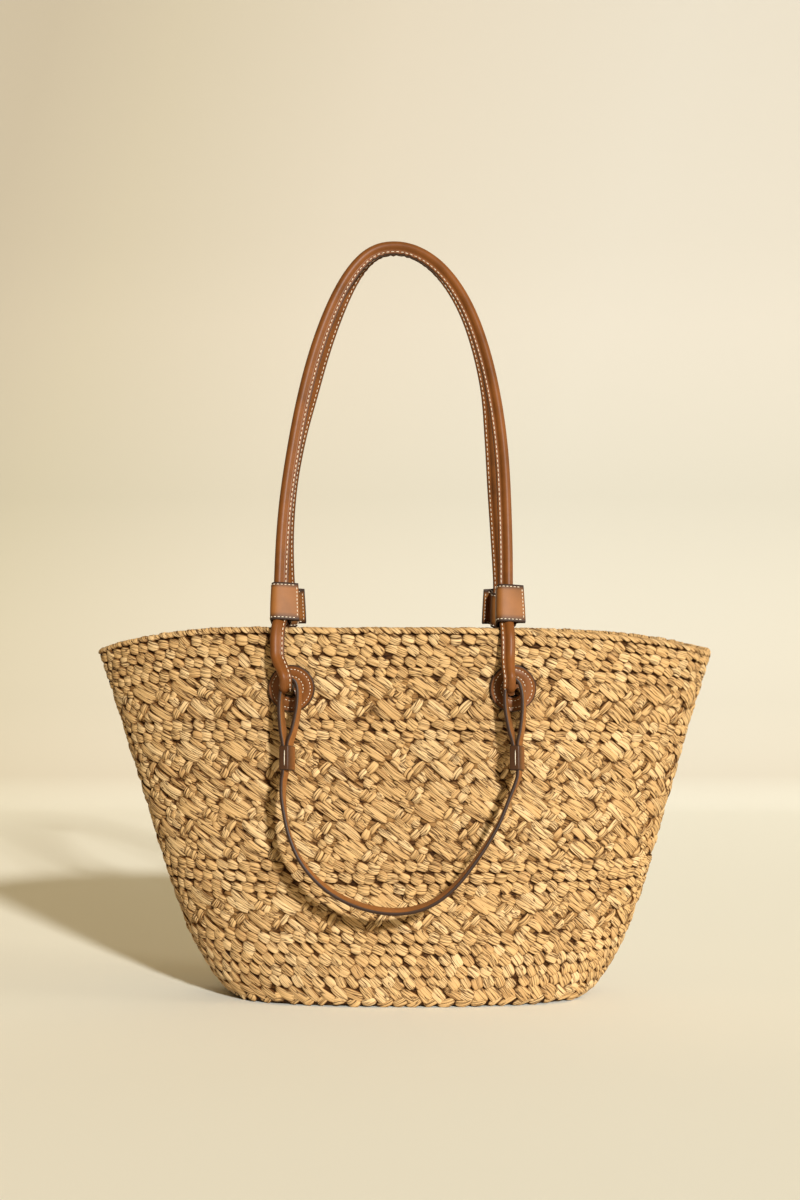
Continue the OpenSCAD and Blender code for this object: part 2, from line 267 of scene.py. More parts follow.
# The braid is covered over this distance and angle, from an angle below its inner side,
# by strands that run RIM_SLANT along it as they cross, one every RIM_PITCH
RIM_RUN = 24.0
RIM_TURN = math.radians(250)
RIM_START = math.radians(35)
RIM_SLANT = 17
RIM_PITCH = 6.4


def rim_place(turn, run):
    """The braid's surface, by the distance run over it from low inside to low outside."""
    half_w = BRAID_T / 2 - 0.6
    half_h = BRAID_H / 2 - 0.2
    angle = (run / RIM_RUN) * RIM_TURN - RIM_START
    inset = WALL_T / 2 + half_w * math.cos(angle)
    ring = shell_ring(turn, RIM_Z - BRAID_H / 2, inset, inset)
    ring[..., 2] += half_h * math.sin(angle)
    return ring


def floor_place(turn, inset):
    return base_ring(turn, inset, BASE_T - 1.0)


def under_place(turn, inset):
    return base_ring(turn, inset, 1.6)


OUTSIDE = Surface(outer_place, 0.0, RIM_Z, 155)
INSIDE = Surface(inner_place, BASE_T + 1, RIM_Z, 80, outward=-1)
RIM = Surface(rim_place, 0.0, RIM_RUN, 25, outward=-1)
FLOOR = Surface(floor_place, 0.0, BASE_HALF_Y - 3, 30)
UNDER = Surface(under_place, 0.0, BASE_HALF_Y - 3, 30, outward=-1)


# ---- mesh helpers


class Shape:
    """Collects the vertices, faces and per-vertex values of one piece."""

    def __init__(self):
        self.points = []
        self.loops = []
        self.totals = []
        self.slots = []
        self.values = {}
        self.count = 0

    def add(self, points, faces, slot=0, **values):
        """Adds points (n, 3) in millimetres, and arrays of faces that have the same number of corners."""
        points = np.asarray(points, float).reshape(-1, 3)
        for group in faces:
            self.loops.append((group + self.count).ravel())
            self.totals.append(np.full(len(group), group.shape[1]))
            self.slots.append(np.full(len(group), slot))
        for name in set(values) | set(self.values):
            given = values.get(name)
            if name not in self.values:
                width = 1 if np.ndim(given) < 2 else np.shape(given)[1]
                self.values[name] = [np.zeros((self.count, width))]
            width = self.values[name][0].shape[1]
            if given is None:
                given = np.zeros((len(points), width))
            given = np.asarray(given, float).reshape(-1, width)
            self.values[name].append(np.broadcast_to(given, (len(points), width)))
        self.points.append(points)
        self.count += len(points)

    def build(self, name, materials, recalculate=True):
        mesh = bpy.data.meshes.new(name)
        points = np.concatenate(self.points) * MM
        loops = np.concatenate(self.loops)
        totals = np.concatenate(self.totals)
        mesh.vertices.add(len(points))
        mesh.vertices.foreach_set("co", points.astype(np.float32).ravel())
        mesh.loops.add(len(loops))
        mesh.loops.foreach_set("vertex_index", loops.astype(np.int32))
        mesh.polygons.add(len(totals))
        mesh.polygons.foreach_set("loop_start", (np.cumsum(totals) - totals).astype(np.int32))
        mesh.polygons.foreach_set("loop_total", totals.astype(np.int32))
        mesh.polygons.foreach_set("material_index", np.concatenate(self.slots).astype(np.int32))
        mesh.update(calc_edges=True)
        mesh.validate()
        for key, parts in self.values.items():
            data = np.concatenate(parts).astype(np.float32)
            if data.shape[1] == 1:
                mesh.attributes.new(key, "FLOAT", "POINT").data.foreach_set("value", data.ravel())
            else:
                mesh.attributes.new(key, "FLOAT_VECTOR", "POINT").data.foreach_set("vector", data.ravel())
        for material in materials:
            mesh.materials.append(material)
        mesh.shade_smooth()
        piece = bpy.data.objects.new(name, mesh)
        bpy.context.scene.collection.objects.link(piece)
        if recalculate:
            outward_normals(mesh)
        return piece


def hand_over(piece, body, node=None):
    """Ties a piece to its CAD body and the CAD node that it stands for."""
    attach(piece, body)
    if node:
        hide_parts(node)


def outward_normals(mesh):
    work = bmesh.new()
    work.from_mesh(mesh)
    bmesh.ops.recalc_face_normals(work, faces=work.faces)
    work.to_mesh(mesh)
    work.free()


def ring_quads(rings, around, closed=False):
    """Faces that join rings of points, either open at both ends or closed into a loop."""
    r = np.arange(rings if closed else rings - 1)[:, None]
    i = np.arange(around)[None, :]
    a = r * around
    b = ((r + 1) % rings) * around
    j = (i + 1) % around
    return np.stack([a + i, a + j, b + j, b + i], axis=-1).reshape(-1, 4)


def tube_faces(rings, around):
    """Faces of a tube with its two ends closed."""
    ends = np.array([np.arange(around)[::-1], (rings - 1) * around + np.arange(around)])
    return [ring_quads(rings, around), ends]


def unit(v):
    return v / np.linalg.norm(v, axis=-1, keepdims=True)


def headings(path):
    return unit(np.gradient(path, axis=0))


def square_to(direction, along):
    """The part of a direction that is square to a path, as a unit vector."""
    return unit(direction - np.sum(direction * along, axis=-1, keepdims=True) * along)


def spline(points, steps):
    """Catmull-Rom curve through points, with a number of steps in each span."""
    p = np.asarray(points, float)
    before = np.vstack([p[:1], p[:-1]])
    after = np.vstack([p[2:], p[-1:]])
    made = []
    for i in range(len(p) - 1):
        a, b, c, d = before[i], p[i], p[i + 1], after[i]
        for s in range(steps):
            t = s / steps
            square = (2 * a - 5 * b + 4 * c - d) * t**2
            cube = (3 * b - a - 3 * c + d) * t**3
            made.append(0.5 * (2 * b + (c - a) * t + square + cube))
    made.append(p[-1])
    return np.array(made)


def mirrored(points, face):
    """Points of the front of the bag, or the same at its rear."""
    return points * np.array([1, face, 1])


# ---- materials


def new_material(name):
    material = bpy.data.materials.new(name)
    material.use_nodes = True
    tree = material.node_tree
    return material, tree, tree.nodes["Principled BSDF"]


def attribute(tree, name, output):
    node = tree.nodes.new("ShaderNodeAttribute")
    node.attribute_name = name
    return node.outputs[output]


def math_node(tree, operation, a, b):
    node = tree.nodes.new("ShaderNodeMath")
    node.operation = operation
    for socket, value in zip(node.inputs, (a, b)):
        if isinstance(value, (int, float)):
            socket.default_value = value
        else:
            tree.links.new(value, socket)
    return node.outputs[0]


def noise(tree, vector, scale, detail=2.0, roughness=0.5):
    node = tree.nodes.new("ShaderNodeTexNoise")
    node.inputs["Scale"].default_value = scale
    node.inputs["Detail"].default_value = detail
    node.inputs["Roughness"].default_value = roughness
    tree.links.new(vector, node.inputs["Vector"])
    return node.outputs["Fac"]


def scaled(tree, vector, factors):
    node = tree.nodes.new("ShaderNodeVectorMath")
    node.operation = "MULTIPLY"
    tree.links.new(vector, node.inputs[0])
    node.inputs[1].default_value = factors
    return node.outputs[0]


def ramp(tree, value, stops):
    node = tree.nodes.new("ShaderNodeValToRGB")
    elements = node.color_ramp.elements
    while len(elements) < len(stops):
        elements.new(0.5)
    for element, (place, colour) in zip(elements, stops):
        element.position = place
        element.color = (*colour, 1)
    tree.links.new(value, node.inputs[0])
    return node.outputs["Color"]


def mix(tree, factor, a, b, blend="MIX"):
    node = tree.nodes.new("ShaderNodeMix")
    node.data_type = "RGBA"
    node.blend_type = blend
    for socket, value in ((node.inputs[0], factor), (node.inputs[6], a), (node.inputs[7], b)):
        if isinstance(value, (int, float)):
            socket.default_value = value
        elif isinstance(value, tuple):
            socket.default_value = (*value, 1)
        else:
            tree.links.new(value, socket)
    return node.outputs[2]


def bump(tree, height, shader, distance, strength=1.0):
    node = tree.nodes.new("ShaderNodeBump")
    node.inputs["Distance"].default_value = distance
    node.inputs["Strength"].default_value = strength
    tree.links.new(height, node.inputs["Height"])
    tree.links.new(node.outputs["Normal"], shader.inputs["Normal"])


def finish_shader(tree, shader, colour, roughness):
    tree.links.new(colour, shader.inputs["Base Color"])
    shader.inputs["Roughness"].default_value = roughness


def tint_by(tree, colour, other):
    """One colour multiplied by another."""
    return mix(tree, 1.0, colour, other, "MULTIPLY")


def object_place(tree):
    return tree.nodes.new("ShaderNodeTexCoord").outputs["Object"]


def straw_material(name, painted_shade=1.0):
    """Raffia: each strand has its own tint and fine fibres, with painted shade along its folds and at its
    sides and ends, where rise is low. A painted_shade below 1 darkens the whole copy as painted shade, for
    strands and wall that lie deeper.
    """
    material, tree, shader = new_material(name)
    strand = attribute(tree, "strand", "Vector")
    rise = attribute(tree, "rise", "Fac")
    chance = tree.nodes.new("ShaderNodeSeparateXYZ")
    tree.links.new(strand, chance.inputs[0])
    # painted shade: the whole raffia darker by painted_shade, more in green and blue, for layers that lie
    # deeper in the weave
    fade = (painted_shade, painted_shade**1.25, painted_shade**1.6)
    pale, mid, brown = (
        tuple(c * f for c, f in zip(colour, fade))
        for colour in ((0.74, 0.52, 0.27), (0.62, 0.395, 0.175), (0.53, 0.32, 0.135))
    )
    tint = ramp(
        tree,
        math_node(tree, "MULTIPLY", chance.outputs["Z"], 0.1),
        [(0.0, brown), (0.2, mid), (0.6, mid), (1.0, pale)],
    )
    fibres = noise(tree, scaled(tree, strand, (0.05, 1.25, 37.0)), 1.0, detail=2.0, roughness=0.55)
    streak_stops = [(0.32, (0.52, 0.42, 0.32)), (0.46, (0.96, 0.95, 0.93)), (0.7, (1.10, 1.10, 1.08))]
    streaks = ramp(tree, fibres, streak_stops)
    colour = tint_by(tree, tint, streaks)
    folds = noise(tree, scaled(tree, strand, (0.035, 0.42, 53.0)), 1.0, detail=1.0)
    from_fold = math_node(tree, "ABSOLUTE", math_node(tree, "SUBTRACT", folds, 0.5), 0.0)
    # painted shade: a dark line down each fold crease of a strand
    painted_fold_shade = ramp(tree, from_fold, [(0.0, (0.10, 0.05, 0.02)), (0.045, (1.0, 1.0, 1.0))])
    colour = tint_by(tree, colour, painted_fold_shade)
    # painted shade: dark where rise is low, at the sides, ends and underside of each strand, where it tucks
    # under its neighbours
    painted_gap_shade_stops = [(0.0, (0.06, 0.028, 0.01)), (0.3, (0.27, 0.17, 0.09)), (0.8, (1.0, 1.0, 1.0))]
    painted_gap_shade = ramp(tree, rise, painted_gap_shade_stops)
    colour = tint_by(tree, colour, painted_gap_shade)
    finish_shader(tree, shader, colour, 0.6)
    shader.inputs["Specular IOR Level"].default_value = 0.12
    fold_height = math_node(tree, "MINIMUM", math_node(tree, "MULTIPLY", from_fold, 14.0), 1.0)
    height = math_node(tree, "ADD", fibres, fold_height)
    bump(tree, height, shader, 0.0006, 0.9)
    return material


def leather_material(name, colour, roughness=0.42):
    """Smooth tanned leather: faint grain and mottling, with dark painted cut edges."""
    material, tree, shader = new_material(name)
    place = object_place(tree)
    mottle = noise(tree, place, 55.0, detail=3.0)
    grain = noise(tree, place, 900.0, detail=2.0)
    light = tuple(min(1.0, 1.18 * c) for c in colour)
    dark = tuple(0.78 * c for c in colour)
    skin = ramp(tree, mottle, [(0.3, dark), (0.5, colour), (0.72, light)])
    edge = attribute(tree, "edge", "Fac")
    skin = mix(tree, edge, skin, (0.035, 0.018, 0.011))
    finish_shader(tree, shader, skin, roughness)
    shader.inputs["Specular IOR Level"].default_value = 0.22
    bump(tree, grain, shader, 0.00012, 0.6)
    return material


def thread_material():
    material, tree, shader = new_material("thread")
    place = object_place(tree)
    twist = noise(tree, place, 1400.0, detail=1.0)
    colour = ramp(tree, twist, [(0.3, (0.62, 0.50, 0.36)), (0.6, (0.86, 0.76, 0.60))])
    finish_shader(tree, shader, colour, 0.75)
    bump(tree, twist, shader, 0.0002, 0.5)
    return material


def cotton_material():
    material, tree, shader = new_material("cotton_filler")
    place = object_place(tree)
    twist = noise(tree, scaled(tree, place, (1.0, 1.0, 0.4)), 700.0, detail=2.0)
    colour = ramp(tree, twist, [(0.3, (0.60, 0.54, 0.42)), (0.7, (0.84, 0.80, 0.70))])
    finish_shader(tree, shader, colour, 0.9)
    bump(tree, twist, shader, 0.0005, 0.8)
    return material


STRAW = straw_material("raffia")
# Darker copies of the raffia, painted shade: one for the lower layer under the floats, and a deeper one for
# the wall seen in the gaps
STRAW_PAINTED_SHADE = straw_material("raffia_painted_shade", 0.5)
STRAW_PAINTED_DEEP_SHADE = straw_material("raffia_painted_deep_shade", 0.22)
STRAP_LEATHER = leather_material("strap_leather", (0.175, 0.058, 0.012))
PATCH_LEATHER = leather_material("patch_leather", (0.18, 0.062, 0.014))
SLIDER_LEATHER = leather_material("slider_leather", (0.24, 0.092, 0.022), 0.5)
CARRY_LEATHER = leather_material("carry_leather", (0.26, 0.098, 0.025))
KEEPER_LEATHER = leather_material("keeper_leather", (0.23, 0.085, 0.022))
THREAD = thread_material()
COTTON = cotton_material()


# ---- woven strands

# Points over a strand's rounded top and under its flat back, and the strands' spacing
TOP_POINTS = 9
LOW_POINTS = 3
STRAND_PITCH = 9.7

# A strand's width and height at its very end, as shares of its middle's, how square its ends
# are, and the power that rounds its top (1 is round, 0 is flat)
END_WIDTH = 0.16
END_HEIGHT = 0.25
END_SQUARENESS = 3.6
DOME_ROUNDNESS = 0.36


class Strands:
    """A list of short strand segments that lie on a surface.

    Each runs from (x0, level0) to (x1, level1): x in millimetres round the surface, where the whole
    way round is "whole" millimetres, and level as the surface counts it.
    """

    DEFAULTS = {"lift": -1.3, "thick": 2.6, "dive0": 1.2, "dive1": 1.2, "bow": 0.0, "fan": 0.0}
    FIELDS = ("x0", "level0", "x1", "level1", "whole", "width", *DEFAULTS)

    def __init__(self):
        self.rows = []

    def add(self, *place, **more):
        """Adds strands from arrays of x0, level0, x1, level1, whole and width, and other fields by name.

        lift and thick are the height of its underside and its thickness, dive0 and dive1 how far its
        ends go under, bow how far its middle is bent aside and fan how much it widens along itself.
        """
        given = [*place, *(self.DEFAULTS | more).values()]
        self.rows.append(np.stack(np.broadcast_arrays(*given), axis=-1).reshape(-1, len(self.FIELDS)))

    def table(self):
        made = np.concatenate(self.rows)
        return {field: made[:, k] for k, field in enumerate(self.FIELDS)}


def strand_mesh(name, surface, strands, material, stations=8, tops=TOP_POINTS, crease=0.2, near_patch=False):
    """One piece from many strand segments: flattened, creased tubes with tapering ends."""
    spec = strands.table()
    if near_patch:
        mid_x = (spec["x0"] + spec["x1"]) / 2 / spec["whole"]
        middle, _ = surface.at(mid_x, (spec["level0"] + spec["level1"]) / 2)
        away = np.hypot(np.abs(middle[:, 0]) - PATCH_X, middle[:, 2] - PATCH_Z)
        spec = {field: values[away > HOLE_R + 2.5] for field, values in spec.items()}
    n = len(spec["x0"])
    t = 0.5 - 0.5 * np.cos(np.linspace(0, np.pi, stations))
    top_angle = np.linspace(0, np.pi, tops)
    low_angle = np.linspace(np.pi, 2 * np.pi, LOW_POINTS + 2)[1:-1]
    angle = np.concatenate([top_angle, low_angle])
    around = len(angle)
    is_top = np.arange(around) < tops

    column = {field: values[:, None] for field, values in spec.items()}
    span = np.stack([spec["x1"] - spec["x0"], spec["level1"] - spec["level0"]], axis=-1)
    length = np.linalg.norm(span, axis=1)
    along = span / length[:, None]
    side = np.stack([-along[:, 1], along[:, 0]], axis=-1)

    from_middle = np.abs(2 * t - 1)
    end_shape = np.maximum(END_WIDTH, (1 - from_middle**END_SQUARENESS) ** 0.5)
    half = column["width"] / 2 * end_shape * (1 + column["fan"] * (2 * t - 1))
    bow = column["bow"] * 4 * t * (1 - t)
    start = np.stack([spec["x0"], spec["level0"]], axis=-1)
    centre = start[:, None] + span[:, None] * t[:, None] + side[:, None] * bow[..., None]
    across = half[..., None] * np.cos(angle)
    flat = centre[:, :, None] + side[:, None, None] * across[..., None]

    dome = np.where(is_top, np.maximum(0, np.sin(angle)) ** DOME_ROUNDNESS, -0.25)
    ridge = np.where(np.arange(around) % 2 == 1, 1.0, -1.0) * is_top
    ridge[[0, tops - 1]] = 0
    wander = rng.normal(size=(2, n, 1, around)) * is_top
    fade = t[None, :, None]
    folds = crease * (0.45 * ridge + 0.8 * (wander[0] * (1 - fade) + wander[1] * fade))
    folds[..., [0, tops - 1]] = 0
    body = column["thick"] * np.maximum(END_HEIGHT, (1 - from_middle**3) ** 0.5)
    dive = column["dive0"] * (1 - t) ** 3 + column["dive1"] * t**3
    height = column["lift"][..., None] + body[..., None] * dome + folds - dive[..., None]

    share = flat[..., 0] / column["whole"][..., None]
    points, normals = surface.at(share, flat[..., 1])
    if near_patch:
        away = np.hypot(np.abs(points[..., 0]) - PATCH_X, points[..., 2] - PATCH_Z)
        limit = -0.25 + np.clip(away - PATCH_R - 0.5, 0, None) * 0.9
        height = np.minimum(height, limit)
    points = points + normals * height[..., None]

    chance = rng.random((n, 1, 1)) * 10
    strand = np.stack(
        [
            np.broadcast_to((t * length[:, None])[..., None], across.shape),
            across,
            np.broadcast_to(chance, across.shape),
        ],
        axis=-1,
    )
    # rise is 1 over a strand's top and 0 at its sides, ends and underside; the raffia paints shade where it
    # is low
    beside = np.clip((1 - np.abs(np.cos(angle))) / 0.25, 0, 1) * is_top
    rise = beside * (1 - from_middle**5)[:, None]
    rise = np.broadcast_to(rise, across.shape)

    offset = (np.arange(n) * stations * around)[:, None, None]
    faces = [
        (group[None, :, :: surface.outward] + offset).reshape(-1, group.shape[1])
        for group in tube_faces(stations, around)
    ]
    shape = Shape()
    shape.add(points.reshape(-1, 3), faces, strand=strand.reshape(-1, 3), rise=rise.reshape(-1))
    return shape.build(name, [material], recalculate=False)


def plain_row(
    strands, surface, level, count, offset, tilt=24.0, length=12.6, width=9.8, under=0.0, rough=1.0
):
    """One row of plain weave: plump short strands, each tucked under its neighbour."""
    whole = surface.distance_round(level)
    pitch = whole / count
    x = (np.arange(count) + offset) * pitch + rng.normal(size=count) * 0.7 * rough
    z = level + rng.normal(size=count) * 0.55 * rough
    angle = np.radians(tilt + rng.normal(size=count) * 8 * rough)
    reach = length / 2 * (1 + rng.normal(size=count) * 0.07 * rough)
    wide = width * (1 + rng.normal(size=count) * 0.09 * rough)
    strands.add(
        x - reach * np.cos(angle),
        z + reach * np.sin(angle),
        x + reach * np.cos(angle),
        z - reach * np.sin(angle),
        whole,
        wide,
        lift=-1.4 - under + rng.normal(size=count) * 0.22 * rough,
        thick=2.6,
        dive0=1.7,
        dive1=0.8,
        bow=rng.normal(size=count) * 0.5 * rough,
        fan=rng.normal(size=count) * 0.12 * rough,
    )


# Strands of one twill cell, four columns wide and two plain rows high. Each is
# x0, y0, x1, y1 and width, in columns across and plain rows down.
TWILL_CELLS = (
    (
        (-0.05, 0.30, 2.15, 2.15, 0.74),
        (0.45, -0.15, 2.75, 1.75, 0.82),
        (1.45, -0.25, 3.00, 1.10, 0.62),
        (2.50, 1.90, 3.30, 0.80, 0.52),
        (3.10, 2.15, 3.85, 1.15, 0.52),
        (2.95, -0.05, 3.75, 0.55, 0.66),
        (3.30, 0.55, 4.10, 1.10, 0.60),
        (3.55, 1.65, 4.35, 2.20, 0.62),
        (-0.10, 1.25, 0.65, 1.90, 0.60),
    ),
    (
        (-0.60, 1.40, 0.40, 0.05, 0.52),
        (0.60, 0.00, 2.75, 2.00, 0.84),
        (0.10, 0.70, 1.65, 2.20, 0.64),
        (1.45, -0.10, 2.30, 0.55, 0.62),
        (2.05, 0.20, 2.95, 1.00, 0.62),
        (2.75, 1.85, 3.45, 0.75, 0.50),
        (2.75, -0.20, 3.50, 0.45, 0.62),
        (-0.30, 1.35, 0.45, 2.10, 0.60),
    ),
)
TWILL_SHIFTS = (1.05, 0.15)


def twill_zone(strands, under, surface, top, bottom, rows, drift=0.0):
    """Rows of long floating strands over a lower layer of plain weave."""
    level = (top + bottom) / 2
    cells = int(round(surface.distance_round(level) / STRAND_PITCH / 4))
    high = (top - bottom) / rows
    for row in range(rows):
        z_top = top - row * high
        whole = surface.distance_round(z_top - high / 2)
        pitch = whole / (cells * 4)
        for half in (0.27, 0.77):
            plain_row(under, surface, z_top - high * half, cells * 4, 0.5 * (half > 0.5), under=1.5)
        start = (np.arange(cells) * 4 + drift) * pitch
        for x0, y0, x1, y1, width in TWILL_CELLS[row % 2]:
            n = cells
            shake = rng.normal(size=(4, n)) * 0.55
            is_float = abs(x1 - x0) > 1.0
            strands.add(
                start + x0 * pitch + shake[0],
                z_top - y0 * high / 2 + shake[1],
                start + x1 * pitch + shake[2],
                z_top - y1 * high / 2 + shake[3],
                whole,
                width * pitch * (1.12 if is_float else 1.3) * (1 + rng.normal(size=n) * 0.1),
                lift=(-1.1 if is_float else -1.5) + rng.normal(size=n) * 0.2,
                thick=2.6,
                dive0=1.9,
                dive1=1.9,
                bow=rng.normal(size=n) * 0.8,
                fan=rng.normal(size=n) * 0.15,
            )
        drift += TWILL_SHIFTS[row % 2]
    return drift


def plain_zone(strands, surface, top, bottom, rows, tilt=24.0, tilt_end=None, **more):
    count = int(round(surface.distance_round((top + bottom) / 2) / STRAND_PITCH))
    high = (top - bottom) / rows
    for row in range(rows):
        share = row / max(1, rows - 1)
        angle = tilt if tilt_end is None else tilt + (tilt_end - tilt) * share
        plain_row(strands, surface, top - (row + 0.5) * high, count, 0.5 * (row % 2), tilt=angle, **more)


# Lower layers take the copy of the raffia darkened with painted shade, and fewer points
LOWER_LAYER = {"material": STRAW_PAINTED_SHADE, "stations": 6, "tops": 7}


def layer(name, strands, material=STRAW, **more):
    """One piece of the outside's weave."""
    hand_over(strand_mesh(name, OUTSIDE, strands, material, **more), "basket")


# Levels where the weave changes between plain rows and floats, from the rim down
BAND_LEVELS = (WALL_TOP + 3.5, 266.5, 232.8, 215.9, 166.95, 118.0, 91.5, 60.2, 16.0)


def weave_outside():
    """The basket's outside, in bands from the rim down."""
    top, floats_top, floats_end, middle_top, middle, lower_top, foot_top, foot_end, foot = BAND_LEVELS
    upper = Strands()
    plain_zone(upper, OUTSIDE, top, floats_top, 4)
    under_upper = Strands()
    floats_upper = Strands()
    drift = twill_zone(floats_upper, under_upper, OUTSIDE, floats_top, floats_end, 2)
    plain_zone(upper, OUTSIDE, floats_end, middle_top, 2)
    layer("weave_plain_upper", upper, near_patch=True)
    layer("weave_under_upper", under_upper, near_patch=True, **LOWER_LAYER)
    layer("weave_twill_upper", floats_upper, near_patch=True, stations=10)

    for name, top, bottom in (("middle", middle_top, middle), ("lower", middle, lower_top)):
        under = Strands()
        floats = Strands()
        drift = twill_zone(floats, under, OUTSIDE, top, bottom, 3, drift)
        layer("weave_under_" + name, under, **LOWER_LAYER)
        layer("weave_twill_" + name, floats, stations=10)

    lower = Strands()
    plain_zone(lower, OUTSIDE, lower_top, foot_top, 3)
    under_foot = Strands()
    floats_foot = Strands()
    twill_zone(floats_foot, under_foot, OUTSIDE, foot_top, foot_end, 2, drift)
    plain_zone(lower, OUTSIDE, foot_end, foot, 5, tilt=30, tilt_end=52, length=13.0, width=10.0)
    layer("weave_plain_lower", lower)
    layer("weave_under_foot", under_foot, **LOWER_LAYER)
    layer("weave_twill_foot", floats_foot, stations=10)

    edge = Strands()
    plain_row(edge, OUTSIDE, 10.5, 68, 0.0, tilt=38, length=19.0, width=10.0, rough=1.3)
    plain_row(edge, OUTSIDE, 4.5, 60, 0.4, tilt=-25, length=15.0, width=8.0, under=0.4, rough=1.3)
    layer("weave_foot", edge, stations=10)


def weave_rim():
    """The braid over the rim: slanted strands from inside, over the top, to outside."""
    strands = Strands()
    whole = RIM.distance_round(RIM_RUN / 2)
    count = int(whole / RIM_PITCH)
    x = np.arange(count) * whole / count + rng.normal(size=count) * 0.5
    strands.add(
        x,
        1.0 + rng.random(count),
        x + RIM_SLANT + rng.normal(size=count) * 0.8,
        RIM_RUN - 1.0 - rng.random(count),
        whole,
        7.6 * (1 + rng.normal(size=count) * 0.08),
        lift=-1.7 + rng.normal(size=count) * 0.2,
        thick=2.3,
        dive0=0.6,
        dive1=0.6,
        bow=rng.normal(size=count) * 0.5,
    )
    piece = strand_mesh("rim_weave", RIM, strands, STRAW, stations=14, crease=0.25)
    hand_over(piece, "basket", "rim_braid")


def weave_inside():
    """The basket's inside, which is plainer."""
    for name, top, bottom, rows in (("inside_upper", 299.0, 155.0, 16), ("inside_lower", 155.0, 11.0, 16)):
        strands = Strands()
        plain_zone(strands, INSIDE, top, bottom, rows, tilt=-24, width=8.6)
        piece = strand_mesh("weave_" + name, INSIDE, strands, STRAW, stations=6, tops=5, near_patch=True)
        hand_over(piece, "basket")


def weave_base():
    """The oval mat of the base, on its underside and its upper side."""
    for name, surface in (("under", UNDER), ("floor", FLOOR)):
        strands = Strands()
        for row, inset in enumerate(np.arange(3.5, BASE_HALF_Y - 4, 8.2)):
            count = int(round(surface.distance_round(inset) / 10.2))
            plain_row(strands, surface, inset, count, 0.5 * (row % 2), tilt=30, width=9.2, rough=0.8)
        piece = strand_mesh("base_" + name, surface, strands, STRAW, stations=6, tops=5)
        hand_over(piece, "basket", "woven_base" if name == "under" else None)


def shell():
    """The closed wall under the strands, with the four holes that the straps pass through."""
    samples = 220
    share = np.arange(samples) / samples
    top = RIM_Z - 3
    sunk_outside = 1.9
    sunk_inside = 1.6
    rings = []
    for z in np.linspace(1.0, top, 58):
        points, normals = OUTSIDE.at(share, np.full(samples, z))
        rings.append(points - normals * sunk_outside)
    for z in np.linspace(top, BASE_T + 1.5, 56):
        points, normals = INSIDE.at(share, np.full(samples, z))
        rings.append(points - normals * sunk_inside)
    first, last = rings[0], rings[-1]
    foot = first.mean(axis=0)
    floor = last.mean(axis=0)
    under = [foot + (first - foot) * k + np.array([0, 0, 1.2]) for k in (0.25, 0.6, 0.95)]
    over = [floor + (last - floor) * k for k in (0.6, 0.25)]
    rings = np.array(under + rings + over)
    points = rings.reshape(-1, 3)
    points[:, 2] = np.maximum(points[:, 2], 1.8)
    beside = np.hypot(np.abs(points[:, 0]) - PATCH_X, points[:, 2] - PATCH_Z)
    radius = HOLE_R + 1.5
    quads = ring_quads(len(rings), samples)
    keep = ~np.all(beside[quads] < radius, axis=1)
    quads = quads[keep]
    push = (beside < radius) & (beside > 0.01)
    ahead = points[push]
    middle = np.stack([np.sign(ahead[:, 0]) * PATCH_X, ahead[:, 1], np.full(len(ahead), PATCH_Z)], axis=-1)
    points[push] = middle + (ahead - middle) * (radius / beside[push])[:, None]
    last = (len(rings) - 1) * samples
    ends = np.array([np.arange(samples)[::-1], last + np.arange(samples)])
    strand = np.stack([points[:, 0], points[:, 2], np.full(len(points), 4.0)], axis=-1)
    shape = Shape()
    # The wall takes the deepest painted-shade raffia, and rise at half adds more painted shade, so the gaps
    # between strands read dark
    shape.add(points, [quads, ends], strand=strand, rise=np.full(len(points), 0.5))
    piece = shape.build("wall_core", [STRAW_PAINTED_DEEP_SHADE])
    hand_over(piece, "basket", "woven_wall")


# ---- leather


def add_tube(shape, rings, edge):
    """A closed tube through rings of points. edge says how painted each of a ring's points is."""
    count, around = rings.shape[:2]
    shape.add(rings.reshape(-1, 3), tube_faces(count, around), edge=np.tile(edge, count))


def add_stitches(shape, path, out, slot, length=3.1, gap=1.0, radius=0.34, sunk=0.05):
    """A row of stitches along a path. out is the surface's outward direction at each point."""
    run = run_of(path)
    count = int((run[-1] - 1.0) / (length + gap))
    if count < 1:
        return
    start = (run[-1] - count * (length + gap) + gap) / 2
    stations = 5
    around = 6
    t = np.linspace(0, 1, stations)
    swell = np.array([0.35, 0.95, 1.0, 0.95, 0.35])
    lift = np.array([-0.25, 0.12, 0.2, 0.12, -0.25])
    angle = np.linspace(0, 2 * np.pi, around, endpoint=False)
    places = start + np.arange(count)[:, None] * (length + gap) + t * length
    centre = sample(path, run, places)
    up = unit(sample(out, run, places))
    ahead = unit(centre[:, -1] - centre[:, 0])[:, None]
    up = square_to(up, np.broadcast_to(ahead, up.shape))
    side = np.cross(np.broadcast_to(ahead, up.shape), up)
    centre = centre + up * (lift - sunk)[:, None]
    ring = (
        centre[:, :, None]
        + side[:, :, None] * (radius * swell[:, None] * np.cos(angle))[..., None]
        + up[:, :, None] * (radius * swell[:, None] * np.sin(angle))[..., None]
    )
    faces = tube_faces(stations, around)
    offset = (np.arange(count) * stations * around)[:, None, None]
    shape.add(ring.reshape(-1, 3), [(g[None] + offset).reshape(-1, g.shape[1]) for g in faces], slot=slot)


def handle_point(face, x, depth, up):
    """A place in a handle's own leaning plane, outward by depth and up it."""
    x, depth, up = np.broadcast_arrays(x, depth, up)
    y = -RIM_MID_Y + up * math.sin(HANDLE_LEAN) - depth * math.cos(HANDLE_LEAN)
    z = PIVOT_Z + up * math.cos(HANDLE_LEAN) + depth * math.sin(HANDLE_LEAN)
    return mirrored(np.stack([x, y, z], axis=-1), face)


